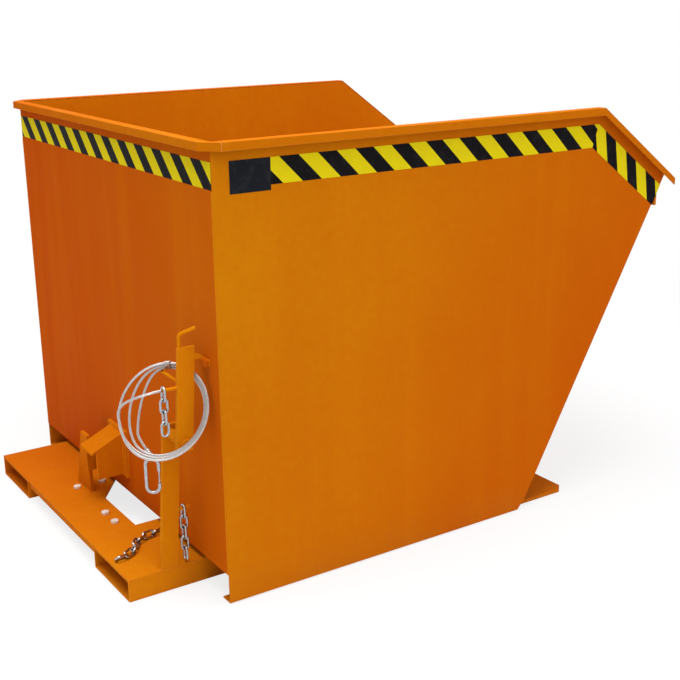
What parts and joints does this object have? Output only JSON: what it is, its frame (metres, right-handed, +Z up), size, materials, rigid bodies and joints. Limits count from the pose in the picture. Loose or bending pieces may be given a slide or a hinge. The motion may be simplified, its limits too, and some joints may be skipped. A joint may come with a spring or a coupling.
{
  "type": "tipping skip",
  "caption": "Forklift tipping skip: slant-front steel trough with a folded rim, hinged on a fork-pocket base, with a latch lever, pull rope and safety chain.",
  "frame": {"origin": "middle of the footprint, on the ground", "axes": "+X towards the pouring lip, +Y to the left seen from behind, +Z up"},
  "size_m": [1.62, 1.27, 1.092],
  "materials": {
    "orange_paint": "semi-gloss powder coat",
    "zinc_fasteners": "zinc plated",
    "axle_steel": "turned steel",
    "bush_bronze": "plain bronze",
    "pad_rubber": "matte",
    "zinc_chain": "zinc plated",
    "wire_rope": "galvanised wire in a clear sleeve",
    "ferrule_aluminium": "pressed",
    "hazard_tape": "yellow film with black diagonal stripes",
    "label_black": "bare film"
  },
  "bodies": {
    "base": {"fork_pocket_left": "orange_paint", "fork_pocket_right": "orange_paint", "rear_deck_plate": "orange_paint", "deck_rib": "orange_paint", "middle_cross_tube": "orange_paint", "front_cross_plate": "orange_paint", "rest_pads": "pad_rubber", "deck_bolts": "zinc_fasteners", "deck_nuts": "zinc_fasteners", "catch_upright": "orange_paint", "axle_bearing_left": "orange_paint", "axle_bearing_right": "orange_paint", "tipping_axle": "axle_steel", "axle_collars": "axle_steel", "latch_post": "orange_paint", "pivot_spacer": "orange_paint", "lever_pivot_bolt": "orange_paint", "chain_anchor_peg": "orange_paint", "post_chain": "zinc_chain", "deck_chain": "zinc_chain"},
    "trough": {"side_panel_left": "orange_paint", "side_panel_right": "orange_paint", "back_wall": "orange_paint", "floor_sheet": "orange_paint", "chute_sheet": "orange_paint", "pouring_lip_bar": "orange_paint", "rim_left": "orange_paint", "rim_right": "orange_paint", "rim_rear": "orange_paint", "hazard_tape_left": "hazard_tape", "hazard_tape_right": "hazard_tape", "hazard_tape_rear": "hazard_tape", "label_plate": "label_black", "axle_lug_left": "orange_paint", "axle_lug_right": "orange_paint", "lug_bushes": "bush_bronze", "latch_keeper": "orange_paint", "catch_wall_plate": "orange_paint", "catch_tongue": "orange_paint"},
    "lever": {"latch_lever": "orange_paint", "lever_handle_rod": "orange_paint", "rope_hanger_peg": "orange_paint", "chain_peg": "orange_paint", "hanging_chain": "zinc_chain", "wire_rope_coil": "wire_rope", "rope_lead": "wire_rope", "rope_tail": "wire_rope", "rope_ferrule": "ferrule_aluminium", "snap_hook": "zinc_chain"},
    "gate": {"snap_hook_gate": "zinc_chain"}
  },
  "joints": [
    {"name": "trough_tip", "type": "hinge", "parent": "base", "child": "trough", "pos_m": [0.244, 0, 0.088], "axis": [0, 1, 0], "range_deg": [0, 85]},
    {"name": "lever_release", "type": "hinge", "parent": "base", "child": "lever", "pos_m": [-0.678, -0.541, 0.404], "axis": [0, -1, 0], "range_deg": [-2, 30]},
    {"name": "hook_gate", "type": "hinge", "parent": "lever", "child": "gate", "pos_m": [-0.73657, -0.51839, 0.3075], "axis": [-0.5593, -0.829, 0], "range_deg": [0, 25], "stiffness_Nm_per_rad": 0.03}
  ]
}
